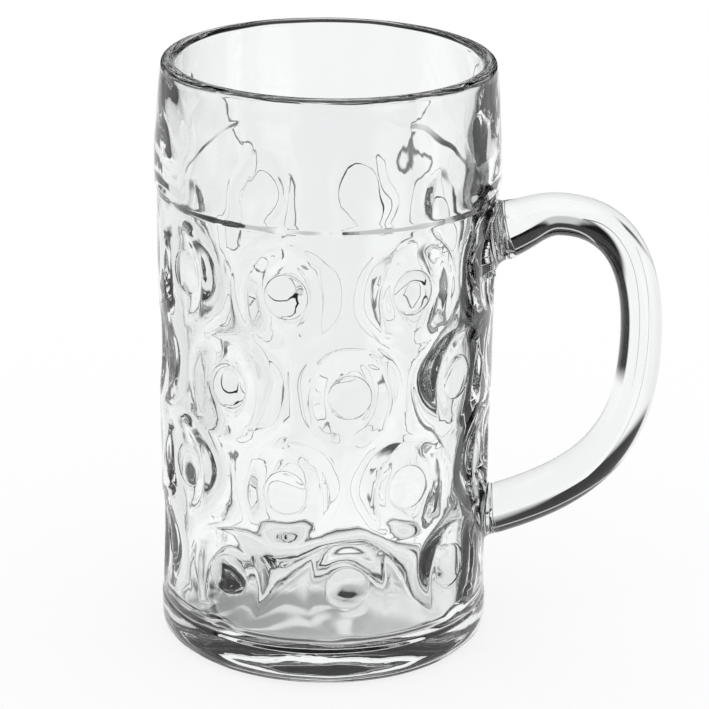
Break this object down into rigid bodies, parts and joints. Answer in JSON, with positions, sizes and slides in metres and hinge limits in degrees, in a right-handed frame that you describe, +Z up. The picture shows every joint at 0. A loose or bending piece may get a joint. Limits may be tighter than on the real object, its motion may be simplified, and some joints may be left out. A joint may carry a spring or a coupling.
{
  "type": "dimpled glass beer mug",
  "caption": "Tall clear glass beer mug with staggered rows of round dimples, a plain neck band, a thick foot and a bowed handle joined at two bosses.",
  "frame": {"origin": "on the bowl's axis, in the plane of the foot ring that the mug stands on", "axes": "+Z up along the bowl's axis, +X from the axis towards the handle, Y across the handle"},
  "size_m": [0.1634, 0.1106, 0.193],
  "materials": {
    "clear_glass": "fire-polished clear soda-lime glass with a faint cool grey tint"
  },
  "bodies": {
    "root": {"bowl": "clear_glass", "handle": "clear_glass"}
  },
  "joints": []
}
